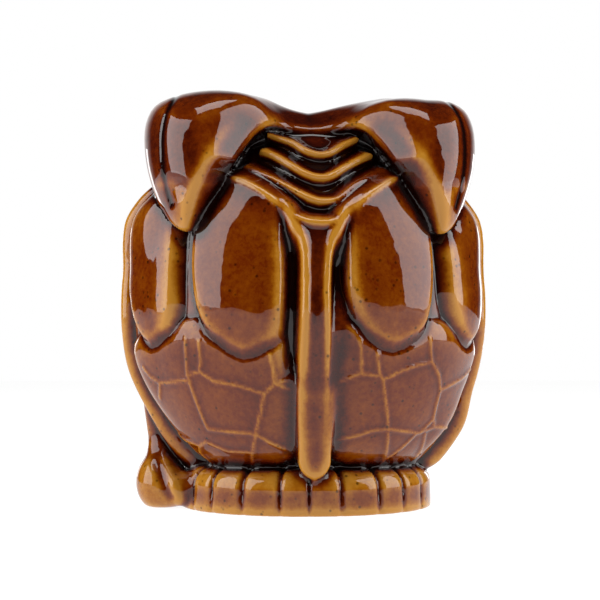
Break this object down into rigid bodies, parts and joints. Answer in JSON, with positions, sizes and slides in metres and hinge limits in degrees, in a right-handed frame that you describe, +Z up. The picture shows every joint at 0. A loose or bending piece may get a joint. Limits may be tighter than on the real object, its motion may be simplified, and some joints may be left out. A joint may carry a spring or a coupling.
{
  "type": "figural animal coin bank",
  "caption": "Free-standing glazed ceramic money box shaped as a plump winged bug, hollow, with a coin slot in the crown and a soft bung in the base.",
  "frame": {"origin": "centre of the bounding box on the plane the foot stands on", "axes": "+Z up; the bug's back with its wing pads faces -Y and its face looks along +Y; +X is towards the right wing as seen from behind"},
  "size_m": [0.1103, 0.0987, 0.1199],
  "materials": {
    "treacle_glaze": "glossy translucent brown glaze, amber where it runs thin on ridges",
    "black_soft_pvc": "matt moulded"
  },
  "bodies": {
    "bank": {"ceramic_body": "treacle_glaze"},
    "bung": {"stopper": "black_soft_pvc"}
  },
  "joints": [
    {"name": "bung_pull", "type": "slide", "parent": "bank", "child": "bung", "axis": [0, 0, -1], "range_m": [0, 0.022]}
  ]
}
